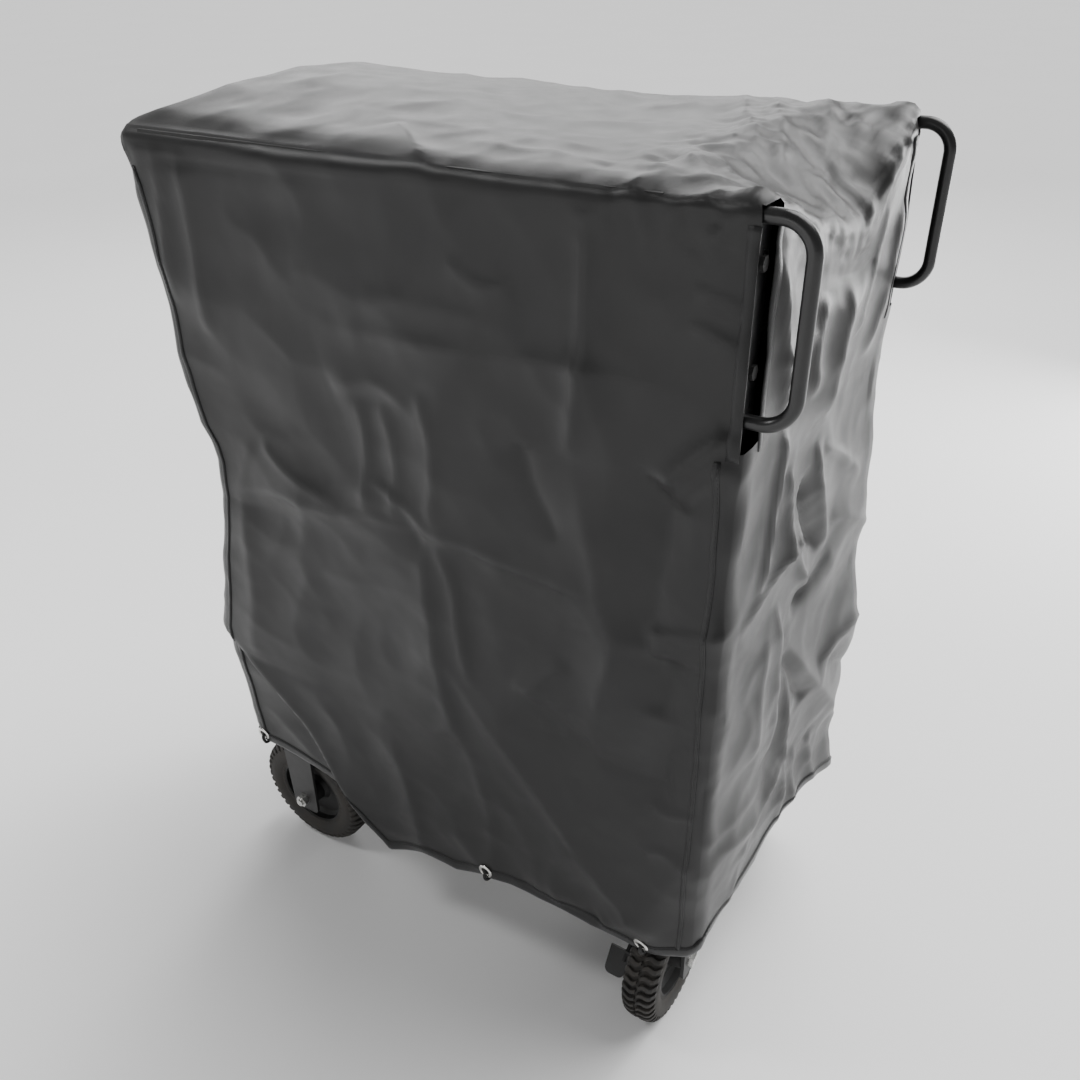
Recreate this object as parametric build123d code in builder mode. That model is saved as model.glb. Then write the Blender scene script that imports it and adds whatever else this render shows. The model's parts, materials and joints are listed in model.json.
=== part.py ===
"""Four-wheel push cart under a fitted fabric cover.

Millimetres, +Z up, the ground at z = 0. X runs along the cart, with the handles and the swivel casters
at the +X end ("right"), and the front is -Y. The origin is under the middle of the overall box.
"""

import math
import os

from build123d import *

os.makedirs("parts", exist_ok=True)

# Cover: outer size of the box that it makes, and its fabric
cover_length = 754
cover_width = 462
cover_top = 1163
cloth = 2
slit_bottom = 940  # the two right-hand corners are open from here up
slit_in_x = 13  # how far the slit cuts back the front and back panels
slit_in_y = 17  # how far the slit cuts back the right panel
hem_overlap = 8  # the hem cord and the grommets sit this far, and half as far again, above the edge

# Casters and wheels
wheel_radius = 101.5
tyre_width = 52
bead_radius = 62
axle_height = wheel_radius
trail = 26
rigid_x, rigid_y = 335, 172
swivel_x, swivel_y = 310, 129
caster_top = 241
plate_thick = 5
plate_size = (96, 60)
plate_bolts = {"rigid": (46, 40), "swivel": (72, 40)}
leg_inside = 31.5
leg_thick = 5
axle_radius = 6
sleeve_radius = 8
bush_radius = 12
hub_half = 29

# Frame
frame_length = 732
frame_width = 456
tube = 30
wall = 2
pad_thick = 8
base_bottom = caster_top + pad_thick
base_height = 40
frame_top = 1158
deck_thick = 3
left_post_inset = 46  # the left posts stand in from the frame's end by this much more
top_deck_length = 651  # short of the handle end, where the cover hangs loose between the handles
end_rail_top = 1070

# Handles
handle_y = 224
handle_low, handle_high = 973, 1153
handle_reach = 418
bar_radius = 7
bar_bend = 30
handle_plate_height = 194
handle_plate_thick = 5
handle_bolt_heights = (1015, 1111)

# Fasteners
bolt_radius = 4
clear_radius = 4.3
small_flats = 13
small_head = 5.5
flat_head = 3.5  # low heads, which stay behind the cover
tight = 0.1  # radial room round a pin or bolt that doesn't turn
running = 0.05  # radial room in a bearing

# The cart's middle, so that the overall box, from the left tyres to the handles, is centred on x = 0
mid = (rigid_x + wheel_radius - handle_reach - bar_radius) / 2

# Lower edge of each panel: place along the panel from the cart's middle, and height
front_hem = [(-377, 236), (-330, 226), (-250, 190), (-115, 131), (-10, 152), (58, 184), (240, 187),
             (330, 205), (377, 218)]
right_hem = [(-229, 218), (-120, 220), (60, 210), (229, 208)]
back_hem = [(377, 212), (200, 190), (0, 172), (-220, 196), (-377, 236)]
left_hem = [(229, 236), (60, 226), (-100, 228), (-229, 236)]


def keep(name, piece):
    piece.label = name
    export_step(piece, f"parts/{name}.step")


def hem_height(hem, place):
    """Height of a panel's lower edge at a place along it."""
    points = sorted(hem)
    for (a, low), (b, high) in zip(points, points[1:]):
        if a <= place <= b:
            return low + (high - low) * (place - a) / (b - a)
    return points[-1][1]


# ---------------------------------------------------------------- frame
def post(x, y, bottom, top, bolt_heights):
    """Square upright tube, with bolt holes in its outer end wall where a handle is fixed."""
    with BuildPart() as upright:
        with BuildSketch(Plane.XY.offset(bottom)):
            with Locations((x, y)):
                Rectangle(tube, tube)
                Rectangle(tube - 2 * wall, tube - 2 * wall, mode=Mode.SUBTRACT)
        extrude(amount=top - bottom)
        for height in bolt_heights:
            with BuildSketch(Plane.YZ.offset(x)):
                with Locations((y, height)):
                    Circle(clear_radius)
            extrude(amount=tube, mode=Mode.SUBTRACT)
    return upright.part


def rails(plane, places, length, height, bottom):
    """Rectangular tubes side by side, their section drawn on an end plane."""
    with BuildPart() as row:
        for place in places:
            with BuildSketch(plane):
                with Locations((place, bottom + height / 2)):
                    Rectangle(tube, height)
                    Rectangle(tube - 2 * wall, height - 2 * wall, mode=Mode.SUBTRACT)
            extrude(amount=length)
    return row.part


def deck(bottom, start, length, width):
    """Flat steel sheet."""
    with BuildPart() as sheet:
        with BuildSketch(Plane.XY.offset(bottom)):
            with Locations((start + length / 2, 0)):
                Rectangle(length, width)
        extrude(amount=deck_thick)
    return sheet.part


frame_left = mid - frame_length / 2
post_x = (frame_length - tube) / 2
post_y = (frame_width - tube) / 2
base_top = base_bottom + base_height
ends = {"front": -1, "back": 1}
for end, dy in ends.items():
    left_x = mid - post_x + left_post_inset
    keep(f"post_{end}_left", post(left_x, dy * post_y, base_top, frame_top - tube, ()))
    keep(f"post_{end}_right", post(mid + post_x, dy * post_y, base_top, frame_top, handle_bolt_heights))

left_end = Plane.YZ.offset(frame_left)
sides = (-post_y, post_y)
keep("base_long_rails", rails(left_end, sides, frame_length, base_height, base_bottom))
keep("top_long_rails", rails(left_end, sides, frame_length - tube, tube, frame_top - tube))

cross_run = frame_width - 2 * tube
back_side = Plane.XZ.offset(-cross_run / 2)
both_ends = (mid - post_x, mid + post_x)
keep("base_cross_rails", rails(back_side, both_ends, cross_run, base_height, base_bottom))
keep("top_cross_rail", rails(back_side, both_ends[:1], cross_run, tube, frame_top - tube))
keep("handle_cross_rail", rails(back_side, both_ends[1:], cross_run, tube, end_rail_top - tube))

keep("bottom_deck", deck(base_top, frame_left, frame_length, cross_run - 1))
keep("top_deck", deck(frame_top, frame_left, top_deck_length, frame_width))


# ---------------------------------------------------------------- casters
def caster_seats():
    """Where each caster stands: its corner, place on the ground and turn about its stem."""
    for end, dy in ends.items():
        yield end, "left", mid - rigid_x, dy * rigid_y, -90 * dy
        yield end, "right", mid + swivel_x, dy * swivel_y, 90 + 90 * dy


def caster_plate(kind):
    """Top plate of a caster, on its stem's axis, with its four bolt holes."""
    with BuildPart() as plate:
        with BuildSketch(Plane.XY.offset(caster_top - plate_thick)):
            RectangleRounded(*plate_size, 6)
            with GridLocations(*plate_bolts[kind], 2, 2):
                Circle(clear_radius, mode=Mode.SUBTRACT)
            if kind == "swivel":
                Circle(axle_radius + tight, mode=Mode.SUBTRACT)
        extrude(amount=plate_thick)
    return plate.part


def fork(outline, offset, crown_bottom, crown_top, crown_run, stem_hole):
    """Two legs under a flat crown. The axle lies along X, offset from the stem along -Y."""
    with BuildPart() as yoke:
        for start in (-leg_inside - leg_thick, leg_inside):
            with BuildSketch(Plane.YZ.offset(start)) as leg:
                with BuildLine():
                    Polyline(*outline, close=True)
                make_face()
                low_corners = leg.vertices().group_by(Axis.Z)[0]
                fillet(low_corners, 9)
                with Locations((-offset, axle_height)):
                    Circle(axle_radius + tight, mode=Mode.SUBTRACT)
            extrude(amount=leg_thick)
        near, far = crown_run
        with BuildSketch(Plane.XY.offset(crown_bottom)):
            with Locations((0, (near + far) / 2)):
                Rectangle(2 * (leg_inside + leg_thick), abs(far - near))
        extrude(amount=crown_top - crown_bottom)
        if stem_hole:
            with BuildSketch(Plane.XY.offset(crown_bottom)):
                Circle(stem_hole)
            extrude(amount=crown_top - crown_bottom, mode=Mode.SUBTRACT)
    return yoke.part


def hex_nut(plane, at, across_flats, thickness, hole):
    with BuildPart() as nut:
        with BuildSketch(plane):
            with Locations(at):
                RegularPolygon(across_flats / 2, 6, major_radius=False)
                Circle(hole, mode=Mode.SUBTRACT)
        extrude(amount=thickness)
    return nut.part


def round_bar(plane, at, radius, length):
    with BuildPart() as bar:
        with BuildSketch(plane):
            with Locations(at):
                Circle(radius)
        extrude(amount=length)
    return bar.part


def hex_bolt(shank_plane, head_plane, at, radius, length, across_flats, head):
    """Shank along the plane's normal, and a hexagon head that starts on the head plane."""
    shank = round_bar(shank_plane, at, radius, length)
    with BuildPart() as bolt:
        add(shank)
        with BuildSketch(head_plane):
            with Locations(at):
                RegularPolygon(across_flats / 2, 6, major_radius=False)
        extrude(amount=head)
    return bolt.part


leg_bottom = 76
leg_outside = leg_inside + leg_thick
nut_thick = 10
head_thick = 7.5
axle_at = {"rigid": 0, "swivel": -trail}
axle_out = 4  # bolt showing past the nut

crown_top = 222
crown_thick = 5
crown_run = (-36, 28)
gap = 0.3  # flat faces that turn past each other
rigid_leg = [(-30, caster_top - plate_thick), (-28, 190), (-25, leg_bottom), (25, leg_bottom),
             (28, 190), (30, caster_top - plate_thick)]
leg_half = 21.5
leg_far, leg_near = -trail - leg_half, leg_half - trail
swivel_leg = [(crown_run[1], crown_top), (crown_run[0], crown_top), (leg_far, 130), (leg_far, leg_bottom),
              (leg_near, leg_bottom), (leg_near, 130), (crown_run[1], 205)]


def rigid_fork():
    """Fixed fork: its two legs are welded straight to the top plate."""
    plate = caster_plate("rigid")
    legs = fork(rigid_leg, 0, caster_top - plate_thick, caster_top - plate_thick / 2, (-13, 13), 0)
    with BuildPart() as yoke:
        add(plate)
        add(legs)
    return yoke.part


def swivel_fork(pin_hole):
    """Trailing fork, with the brake's pin hole in its -X leg if it carries one."""
    bore = axle_radius + running
    legs = fork(swivel_leg, trail, crown_top - crown_thick, crown_top, crown_run, bore)
    with BuildPart() as yoke:
        add(legs)
        if pin_hole:
            with BuildSketch(Plane.YZ.offset(-leg_outside)):
                with Locations(brake_pivot):
                    Circle(brake_pin_radius + tight)
            extrude(amount=leg_thick, mode=Mode.SUBTRACT)
    return yoke.part


def axle_bolt(kind):
    start = Plane.YZ.offset(-leg_outside - nut_thick - axle_out)
    length = 2 * leg_outside + nut_thick + axle_out
    head = Plane.YZ.offset(leg_outside)
    return hex_bolt(start, head, (axle_at[kind], axle_height), axle_radius, length, 19, head_thick)


def axle_nut(kind):
    plane = Plane.YZ.offset(-leg_outside - nut_thick)
    return hex_nut(plane, (axle_at[kind], axle_height), 19, nut_thick, axle_radius + tight)


def axle_sleeve(kind):
    with BuildPart() as sleeve:
        with BuildSketch(Plane.YZ.offset(-leg_inside)):
            with Locations((axle_at[kind], axle_height)):
                Circle(sleeve_radius)
                Circle(axle_radius + tight, mode=Mode.SUBTRACT)
        extrude(amount=2 * leg_inside)
    return sleeve.part


def turned(kind, outline):
    """Solid of revolution about the axle, from an outline of (distance along it, radius)."""
    with BuildPart() as ring:
        with BuildSketch(Plane.XY.offset(axle_height)):
            with BuildLine():
                Polyline(*[(along, axle_at[kind] + radius) for along, radius in outline], close=True)
            make_face()
        revolve(axis=Axis((0, axle_at[kind], axle_height), (1, 0, 0)))
    return ring.part


half = tyre_width / 2
tyre_outline = [(-20, bead_radius), (20, bead_radius), (24, 70), (half, 80), (half - 1, 89), (21.5, 97),
                (14, 100.6), (0, wheel_radius), (-14, 100.6), (-21.5, 97), (1 - half, 89), (-half, 80),
                (-24, 70)]
rim_outline = [(-hub_half, bush_radius), (hub_half, bush_radius), (hub_half, 17), (10, 20), (4, 26),
               (4, 52), (10, 58), (20, 58), (20, bead_radius), (-20, bead_radius), (-20, 58), (-10, 58),
               (-4, 52), (-4, 26), (-10, 20), (-hub_half, 17)]


def bushes(kind):
    """Two flangeless bushes, pressed into the two ends of the hub."""
    y = axle_at[kind]
    with BuildPart() as pair:
        for start in (-hub_half, hub_half - 18):
            with BuildSketch(Plane.YZ.offset(start)):
                with Locations((y, axle_height)):
                    Circle(bush_radius)
                    Circle(sleeve_radius + running, mode=Mode.SUBTRACT)
            extrude(amount=18)
    return pair.part


# Brake: a lever hinged outside the fork's -X leg, with a foot pad out beside the tyre
brake_pivot = (-trail - 1, 140)
brake_pin_radius = 4
arm_thick = 4
arm_out = leg_outside + 1
pad_edge = 34
pad_width = 30
pad_top, pad_foot = (-trail - 46, 120), (-trail - 69, 88)
arm_outline = [(8, 150), (-9, 149), (-58, 112), (-48, 99), (0, 129), (10, 136)]
pad_depth = 5


def brake_lever():
    run = Vector(pad_foot[0] - pad_top[0], pad_foot[1] - pad_top[1])
    tilt = math.degrees(math.atan2(run.Y, run.X))
    centre = ((pad_top[0] + pad_foot[0]) / 2, (pad_top[1] + pad_foot[1]) / 2)
    with BuildPart() as lever:
        with BuildSketch(Plane.YZ.offset(-arm_out - arm_thick)):
            with BuildLine():
                Polyline(*[(brake_pivot[0] + y, z) for y, z in arm_outline], close=True)
            make_face()
            with Locations(brake_pivot):
                Circle(12)
                Circle(brake_pin_radius + running, mode=Mode.SUBTRACT)
        extrude(amount=arm_thick)
        with BuildSketch(Plane.YZ.offset(-pad_edge - pad_width)):
            with Locations(Location((*centre, 0), (0, 0, tilt))):
                Rectangle(run.length, pad_depth)
        extrude(amount=pad_width)
        pad_corners = lever.edges().filter_by(
            lambda e: e.center().Y < pad_top[0] and e.length < pad_depth * 1.01
            and abs(e.center().X + pad_edge + pad_width / 2) > pad_width / 2 - 1)
        fillet(pad_corners, 9)
    return lever.part


def brake_pin():
    """Rivet through the leg, with its head outside the lever."""
    head = arm_out + arm_thick + gap
    shank = round_bar(Plane.YZ.offset(-head), brake_pivot, brake_pin_radius, head - leg_inside)
    cap = round_bar(Plane.YZ.offset(-head - 3), brake_pivot, 7, 3)
    with BuildPart() as pin:
        add(shank)
        add(cap)
    return pin.part


def swivel_race():
    """Sealed thrust race between the caster's plate and the fork's crown."""
    with BuildPart() as race:
        with BuildSketch(Plane.XY.offset(crown_top + gap)):
            Circle(25)
            Circle(axle_radius + 1, mode=Mode.SUBTRACT)
        extrude(amount=caster_top - plate_thick - crown_top - gap)
    return race.part


king_nut_top = crown_top - crown_thick - gap


def king_pin():
    bottom = king_nut_top - 9
    return round_bar(Plane.XY.offset(bottom), (0, 0), axle_radius, caster_top - bottom)


def king_nut():
    return hex_nut(Plane.XY.offset(king_nut_top - 8), (0, 0), 19, 8, axle_radius + tight)


def caster_bolt_set(kind):
    """Four hexagon bolts, from under the caster's plate up into the tapped pad."""
    top = caster_top + pad_thick - 1
    under = caster_top - plate_thick
    with BuildPart() as bolts:
        with BuildSketch(Plane.XY.offset(under)):
            with GridLocations(*plate_bolts[kind], 2, 2):
                Circle(bolt_radius)
        extrude(amount=top - under)
        with BuildSketch(Plane.XY.offset(under - small_head)):
            with GridLocations(*plate_bolts[kind], 2, 2):
                RegularPolygon(small_flats / 2, 6, major_radius=False)
        extrude(amount=small_head)
    return bolts.part


def caster_pad(kind, run_x, run_y, seat):
    """Thick plate welded under the base rails at one corner, tapped for the caster's bolts."""
    x, y, turn = seat
    with BuildPart() as pad:
        with BuildSketch(Plane.XY.offset(caster_top)):
            with Locations(((run_x[0] + run_x[1]) / 2, (run_y[0] + run_y[1]) / 2)):
                Rectangle(abs(run_x[1] - run_x[0]), abs(run_y[1] - run_y[0]))
            with Locations(Location((x, y, 0), (0, 0, turn))):
                with GridLocations(*plate_bolts[kind], 2, 2):
                    Circle(bolt_radius + tight, mode=Mode.SUBTRACT)
        extrude(amount=pad_thick)
    return pad.part


def place(piece, x, y, turn):
    return piece.moved(Location((x, y, 0), (0, 0, turn)))


def group(pieces):
    return Compound(children=list(pieces))


rigid_seats, swivel_seats, pads, bolts = [], [], [], []
for end, side, x, y, turn in caster_seats():
    kind = "rigid" if side == "left" else "swivel"
    corner = f"{end}_{side}"
    at = (x, y, turn)
    outer_y = math.copysign(214, y)
    if kind == "rigid":
        pads.append(caster_pad(kind, (mid - 360, mid - 290), (outer_y, outer_y * 0.52), at))
        keep(f"rigid_fork_{end}", place(rigid_fork(), *at))
        rigid_seats.append(at)
    else:
        pads.append(caster_pad(kind, (mid + 250, mid + 360), (outer_y, outer_y * 0.35), at))
        keep(f"swivel_fork_{end}", place(swivel_fork(end == "front"), *at))
        keep(f"swivel_axle_{end}", place(axle_bolt(kind), *at))
        keep(f"swivel_axle_nut_{end}", place(axle_nut(kind), *at))
        keep(f"swivel_axle_sleeve_{end}", place(axle_sleeve(kind), *at))
        keep(f"swivel_plate_{end}", place(caster_plate(kind), *at))
        keep(f"swivel_race_{end}", place(swivel_race(), *at))
        swivel_seats.append(at)
    bolts.append(place(caster_bolt_set(kind), *at))
    keep(f"tyre_{corner}", place(turned(kind, tyre_outline), *at))
    keep(f"rim_{corner}", place(turned(kind, rim_outline), *at))
    keep(f"bushes_{corner}", place(bushes(kind), *at))

keep("caster_pads", group(pads))
keep("caster_bolts", group(bolts))
keep("rigid_axles", group(place(axle_bolt("rigid"), *at) for at in rigid_seats))
keep("rigid_axle_nuts", group(place(axle_nut("rigid"), *at) for at in rigid_seats))
keep("rigid_axle_sleeves", group(place(axle_sleeve("rigid"), *at) for at in rigid_seats))
keep("king_pins", group(place(king_pin(), *at) for at in swivel_seats))
keep("king_nuts", group(place(king_nut(), *at) for at in swivel_seats))
keep("brake_lever", place(brake_lever(), *swivel_seats[0]))
keep("brake_pin", place(brake_pin(), *swivel_seats[0]))


# ---------------------------------------------------------------- handles
plate_face = mid + frame_length / 2
bar_start = plate_face + handle_plate_thick


def handle_bar(y):
    """Round bar bent to a D, its two legs welded to the mounting plate."""
    reach = mid + handle_reach
    with BuildPart() as bar:
        with BuildLine() as route:
            FilletPolyline((bar_start, y, handle_low), (reach, y, handle_low), (reach, y, handle_high),
                           (bar_start, y, handle_high), radius=bar_bend)
        with BuildSketch(Plane(route.line @ 0, z_dir=route.line % 0)):
            Circle(bar_radius)
        sweep()
    return bar.part


def handle_mount(y):
    with BuildPart() as mount:
        with BuildSketch(Plane.YZ.offset(plate_face)):
            with Locations((y, (handle_low + handle_high) / 2)):
                Rectangle(tube, handle_plate_height)
            with Locations(*[(y, z) for z in handle_bolt_heights]):
                Circle(clear_radius, mode=Mode.SUBTRACT)
        extrude(amount=handle_plate_thick)
    return mount.part


for end, dy in ends.items():
    keep(f"handle_{end}", handle_bar(dy * handle_y))
    keep(f"handle_mount_{end}", handle_mount(dy * post_y))

handle_bolt_spots = [(dy * post_y, z) for dy in ends.values() for z in handle_bolt_heights]
nut_depth = 8
shank_start = Plane.YZ.offset(plate_face - 18)
shank = 18 + handle_plate_thick
head_face = Plane.YZ.offset(bar_start)
keep("handle_bolts", group(hex_bolt(shank_start, head_face, spot, bolt_radius, shank, small_flats,
                                    flat_head) for spot in handle_bolt_spots))
nut_face = Plane.YZ.offset(plate_face - wall - nut_depth)
keep("handle_weld_nuts", group(hex_nut(nut_face, spot, small_flats, nut_depth, bolt_radius + tight)
                               for spot in handle_bolt_spots))


# ---------------------------------------------------------------- cover
half_length = cover_length / 2
half_width = cover_width / 2
panel_top = cover_top - cloth
grommet_hole = 7
grommet_rise = 1.5 * hem_overlap
front_grommets = (-362, 58, 308)
back_grommets = (-300, -50, 200)
left_grommets = (0,)


def panel(plane, corners, grommets, hem):
    """Flat fabric panel from its outline, pierced for its grommets."""
    with BuildPart() as sheet:
        with BuildSketch(plane):
            with BuildLine():
                Polyline(*corners, close=True)
            make_face()
            for shift, u in grommets:
                with Locations((shift + u, hem_height(hem, u) + grommet_rise)):
                    Circle(grommet_hole, mode=Mode.SUBTRACT)
        extrude(amount=cloth)
    return sheet.part


def long_panel(plane, hem, grommets):
    """Front or back panel, cut back along the slit at its +X end."""
    low = [(mid + u, z) for u, z in sorted(hem)]
    slit_x = mid + half_length - slit_in_x
    corners = low + [(mid + half_length, slit_bottom), (slit_x, slit_bottom), (slit_x, panel_top),
                     (mid - half_length, panel_top)]
    return panel(plane, corners, [(mid, u) for u in grommets], hem)


def end_panel(plane, hem, grommets, slits):
    """Left or right panel, which fits between the front and back panels."""
    edge = half_width - cloth
    low = sorted(hem)
    if slits:
        inner = half_width - slit_in_y
        top = [(edge, slit_bottom), (inner, slit_bottom), (inner, panel_top), (-inner, panel_top),
               (-inner, slit_bottom), (-edge, slit_bottom)]
    else:
        top = [(edge, panel_top), (-edge, panel_top)]
    return panel(plane, low + top, [(0, u) for u in grommets], hem)


keep("cover_front", long_panel(Plane.XZ.offset(half_width - cloth), front_hem, front_grommets))
keep("cover_back", long_panel(Plane.XZ.offset(-half_width), back_hem, back_grommets))
right_plane = Plane.YZ.offset(mid + half_length - cloth)
left_plane = Plane.YZ.offset(mid - half_length)
keep("cover_right", end_panel(right_plane, right_hem, (), True))
keep("cover_left", end_panel(left_plane, left_hem, left_grommets, False))

with BuildPart() as cover_roof:
    with BuildSketch(Plane.XY.offset(panel_top)):
        with Locations((mid, 0)):
            Rectangle(cover_length, cover_width)
    extrude(amount=cloth)
keep("cover_top", cover_roof.part)

flange_radius = 11.5
flange_thick = 0.8
barrel_radius = 6


def grommet(plane, u, z):
    """Two-part eyelet closed over one hole. The plane is the panel's inner face, facing outwards."""
    with BuildPart() as ring:
        for start, length, radius in ((-flange_thick, flange_thick, flange_radius),
                                      (0, cloth, grommet_hole - tight),
                                      (cloth, flange_thick, flange_radius)):
            with BuildSketch(plane.offset(start)):
                with Locations((u, z)):
                    Circle(radius)
                    Circle(barrel_radius, mode=Mode.SUBTRACT)
            extrude(amount=length)
    return ring.part


def panel_grommets():
    front_face = Plane.XZ.offset(half_width - cloth)
    back_face = Plane(origin=(0, half_width - cloth, 0), x_dir=(-1, 0, 0), z_dir=(0, 1, 0))
    left_face = Plane(origin=(mid - half_length + cloth, 0, 0), x_dir=(0, -1, 0), z_dir=(-1, 0, 0))
    for u in front_grommets:
        yield grommet(front_face, mid + u, hem_height(front_hem, u) + grommet_rise)
    for u in back_grommets:
        yield grommet(back_face, -(mid + u), hem_height(back_hem, u) + grommet_rise)
    for u in left_grommets:
        yield grommet(left_face, -u, hem_height(left_hem, u) + grommet_rise)


keep("grommets", group(panel_grommets()))

# Elastic cord round the inside of the hem. Its ends meet in a ferrule behind the back panel.
cord_radius = 2.5
cord_inset = 5
cord_gap = 0.5
ferrule_length = 24
cord_x = half_length - cloth - cord_inset
cord_y = half_width - cloth - cord_inset


def cord_route():
    """Corners of the cord's route, all the way round from the ferrule."""
    start_height = hem_height(back_hem, 0) + hem_overlap
    yield (cord_gap, cord_y, start_height)
    yield (60, cord_y, start_height)
    yield (200 + mid, cord_y, hem_height(back_hem, 200) + hem_overlap)
    yield (cord_x + mid, cord_y, hem_height(back_hem, cord_x) + hem_overlap)
    for y in (60, -120):
        yield (cord_x + mid, y, hem_height(right_hem, y) + hem_overlap)
    yield (cord_x + mid, -cord_y, hem_height(right_hem, -cord_y) + hem_overlap)
    for x, z in reversed(front_hem[1:-1]):
        yield (x + mid, -cord_y, z + hem_overlap)
    yield (-cord_x + mid, -cord_y, hem_height(left_hem, -cord_y) + hem_overlap)
    for y in (-100, 60):
        yield (-cord_x + mid, y, hem_height(left_hem, y) + hem_overlap)
    yield (-cord_x + mid, cord_y, hem_height(left_hem, cord_y) + hem_overlap)
    yield (-220 + mid, cord_y, hem_height(back_hem, -220) + hem_overlap)
    yield (-60, cord_y, start_height)
    yield (-cord_gap, cord_y, start_height)


def bend_radii(points, corner_bend, widest):
    """Radius of each arc: tight round the cart's corners, else as large as its two runs allow."""
    for before, here, after in zip(points, points[1:], points[2:]):
        run_in, run_out = Vector(*here) - Vector(*before), Vector(*after) - Vector(*here)
        turn = run_in.get_angle(run_out)
        roomy = 0.45 * min(run_in.length, run_out.length) / math.tan(math.radians(turn) / 2)
        yield corner_bend if turn > 60 else min(widest, roomy)


route_points = list(cord_route())
cord_bends = list(bend_radii(route_points, 12, 200))
with BuildPart() as hem_cord:
    with BuildLine() as cord_line:
        FilletPolyline(*route_points, radius=cord_bends)
    with BuildSketch(Plane(cord_line.line @ 0, z_dir=cord_line.line % 0)):
        Circle(cord_radius)
    sweep()
keep("hem_cord", hem_cord.part)
cord_length = sum(run.length for run in cord_line.line.edges())
section = math.pi * cord_radius ** 2
print("cord length", round(cord_length), "of section x length:",
      round(hem_cord.part.volume / (section * cord_length), 4))

with BuildPart() as cord_ferrule:
    with BuildSketch(Plane.YZ.offset(-ferrule_length / 2)):
        with Locations((cord_y, hem_height(back_hem, 0) + hem_overlap)):
            Circle(cord_radius + 1.5)
            Circle(cord_radius + tight, mode=Mode.SUBTRACT)
    extrude(amount=ferrule_length)
keep("cord_ferrule", cord_ferrule.part)
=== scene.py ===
"""A covered push cart: its fabric cover, hem, tyres and finishes, round the fixed frame."""
import json
import math

import bmesh
import bpy
import numpy as np
from mathutils import Matrix, Vector, noise


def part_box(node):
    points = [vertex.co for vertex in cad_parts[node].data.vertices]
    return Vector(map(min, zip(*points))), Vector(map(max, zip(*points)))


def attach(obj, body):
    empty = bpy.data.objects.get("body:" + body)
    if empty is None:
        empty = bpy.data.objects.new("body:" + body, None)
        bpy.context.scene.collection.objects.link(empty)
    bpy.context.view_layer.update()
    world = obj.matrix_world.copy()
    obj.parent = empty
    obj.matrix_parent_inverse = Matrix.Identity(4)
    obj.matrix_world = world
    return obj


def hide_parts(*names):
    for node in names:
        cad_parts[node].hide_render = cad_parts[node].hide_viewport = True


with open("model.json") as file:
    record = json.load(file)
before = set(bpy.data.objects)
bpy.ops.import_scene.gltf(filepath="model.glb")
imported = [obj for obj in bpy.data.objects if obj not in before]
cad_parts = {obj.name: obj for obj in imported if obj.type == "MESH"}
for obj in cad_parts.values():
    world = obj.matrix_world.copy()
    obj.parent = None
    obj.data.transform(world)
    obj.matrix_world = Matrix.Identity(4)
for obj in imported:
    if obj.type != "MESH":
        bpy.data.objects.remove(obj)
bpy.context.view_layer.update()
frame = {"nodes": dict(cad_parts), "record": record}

MM = 0.001  # lists of places below are in millimetres


def mm_box(node):
    low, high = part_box(node)
    return np.array(low) / MM, np.array(high) / MM


# ------------------------------------------------------------------ camera
EYE = Vector((0.6591, -1.0054, 1.3636))
TURN, TILT, ROLL = math.radians(32.54), math.radians(32.26), math.radians(-1.29)
LENS = 33.5


def make_camera():
    ahead = Vector((-math.sin(TURN) * math.cos(TILT), math.cos(TURN) * math.cos(TILT), -math.sin(TILT)))
    level = Vector((math.cos(TURN), math.sin(TURN), 0))
    upward = level.cross(ahead)
    right = level * math.cos(ROLL) + upward * math.sin(ROLL)
    up = upward * math.cos(ROLL) - level * math.sin(ROLL)
    data = bpy.data.cameras.new("camera")
    data.lens, data.sensor_width = LENS, 36
    eye = bpy.data.objects.new("camera", data)
    bpy.context.collection.objects.link(eye)
    turn = Matrix((right, up, -ahead)).transposed()
    eye.matrix_world = Matrix.Translation(EYE) @ turn.to_4x4()
    bpy.context.scene.camera = eye


make_camera()


# ------------------------------------------------------------------ shader groups
def node(tree, kind, **settings):
    made = tree.nodes.new(kind)
    for name, value in settings.items():
        setattr(made, name, value)
    return made


def feed(tree, target, source):
    """Joins an output to an input, or sets the input to a plain value."""
    if isinstance(source, bpy.types.NodeSocket):
        tree.links.new(source, target)
    else:
        target.default_value = source


def math_node(tree, operation, first, second=0.0):
    made = node(tree, "ShaderNodeMath", operation=operation)
    feed(tree, made.inputs[0], first)
    feed(tree, made.inputs[1], second)
    return made.outputs[0]


def times(tree, first, second):
    return math_node(tree, "MULTIPLY", first, second)


def ranged(tree, value, low, high, to_low, to_high):
    made = node(tree, "ShaderNodeMapRange")
    for place, source in zip(range(5), (value, low, high, to_low, to_high)):
        feed(tree, made.inputs[place], source)
    return made.outputs[0]


def noise_node(tree, vector, scale, detail=3.0, rough=0.5):
    made = node(tree, "ShaderNodeTexNoise")
    feed(tree, made.inputs["Vector"], vector)
    feed(tree, made.inputs["Scale"], scale)
    made.inputs["Detail"].default_value = detail
    made.inputs["Roughness"].default_value = rough
    return made.outputs["Fac"]


def group(name, inputs, outputs):
    """A shader group with its named inputs, as (name, kind, value), and outputs."""
    tree = bpy.data.node_groups.new(name, "ShaderNodeTree")
    for label, kind, value in inputs:
        socket = tree.interface.new_socket(label, in_out="INPUT", socket_type=kind)
        if value is not None:
            socket.default_value = value
    for label, kind in outputs:
        tree.interface.new_socket(label, in_out="OUTPUT", socket_type=kind)
    return tree, node(tree, "NodeGroupInput"), node(tree, "NodeGroupOutput")


FLOAT, VECTOR = "NodeSocketFloat", "NodeSocketVector"


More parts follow.
